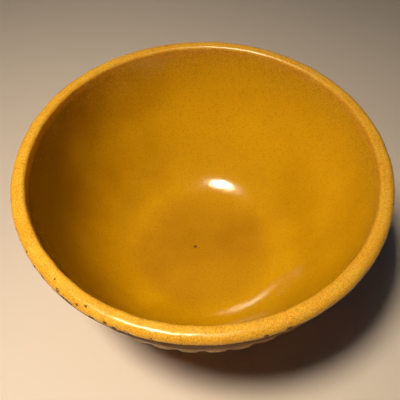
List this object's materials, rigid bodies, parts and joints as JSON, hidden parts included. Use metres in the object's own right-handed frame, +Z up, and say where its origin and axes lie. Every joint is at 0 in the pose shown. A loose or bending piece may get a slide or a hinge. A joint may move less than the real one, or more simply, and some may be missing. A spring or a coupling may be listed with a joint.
{
  "type": "mixing bowl",
  "caption": "Round glazed stoneware mixing bowl with a thick rolled lip, moulded lobes outside and a foot ring, for mixing batter and dough.",
  "frame": {"origin": "centre of the foot ring's bearing face, on the surface that the bowl stands on", "axes": "+Z up along the bowl's axis, out of its mouth; the bowl is round, so +X is any direction across it"},
  "size_m": [0.28, 0.28, 0.136],
  "materials": {
    "fired_clay": "matte",
    "amber_glaze": "gloss"
  },
  "bodies": {
    "root": {"clay_body": "fired_clay", "inside_glaze": "amber_glaze", "outside_glaze": "amber_glaze", "base_glaze": "amber_glaze"}
  },
  "joints": []
}
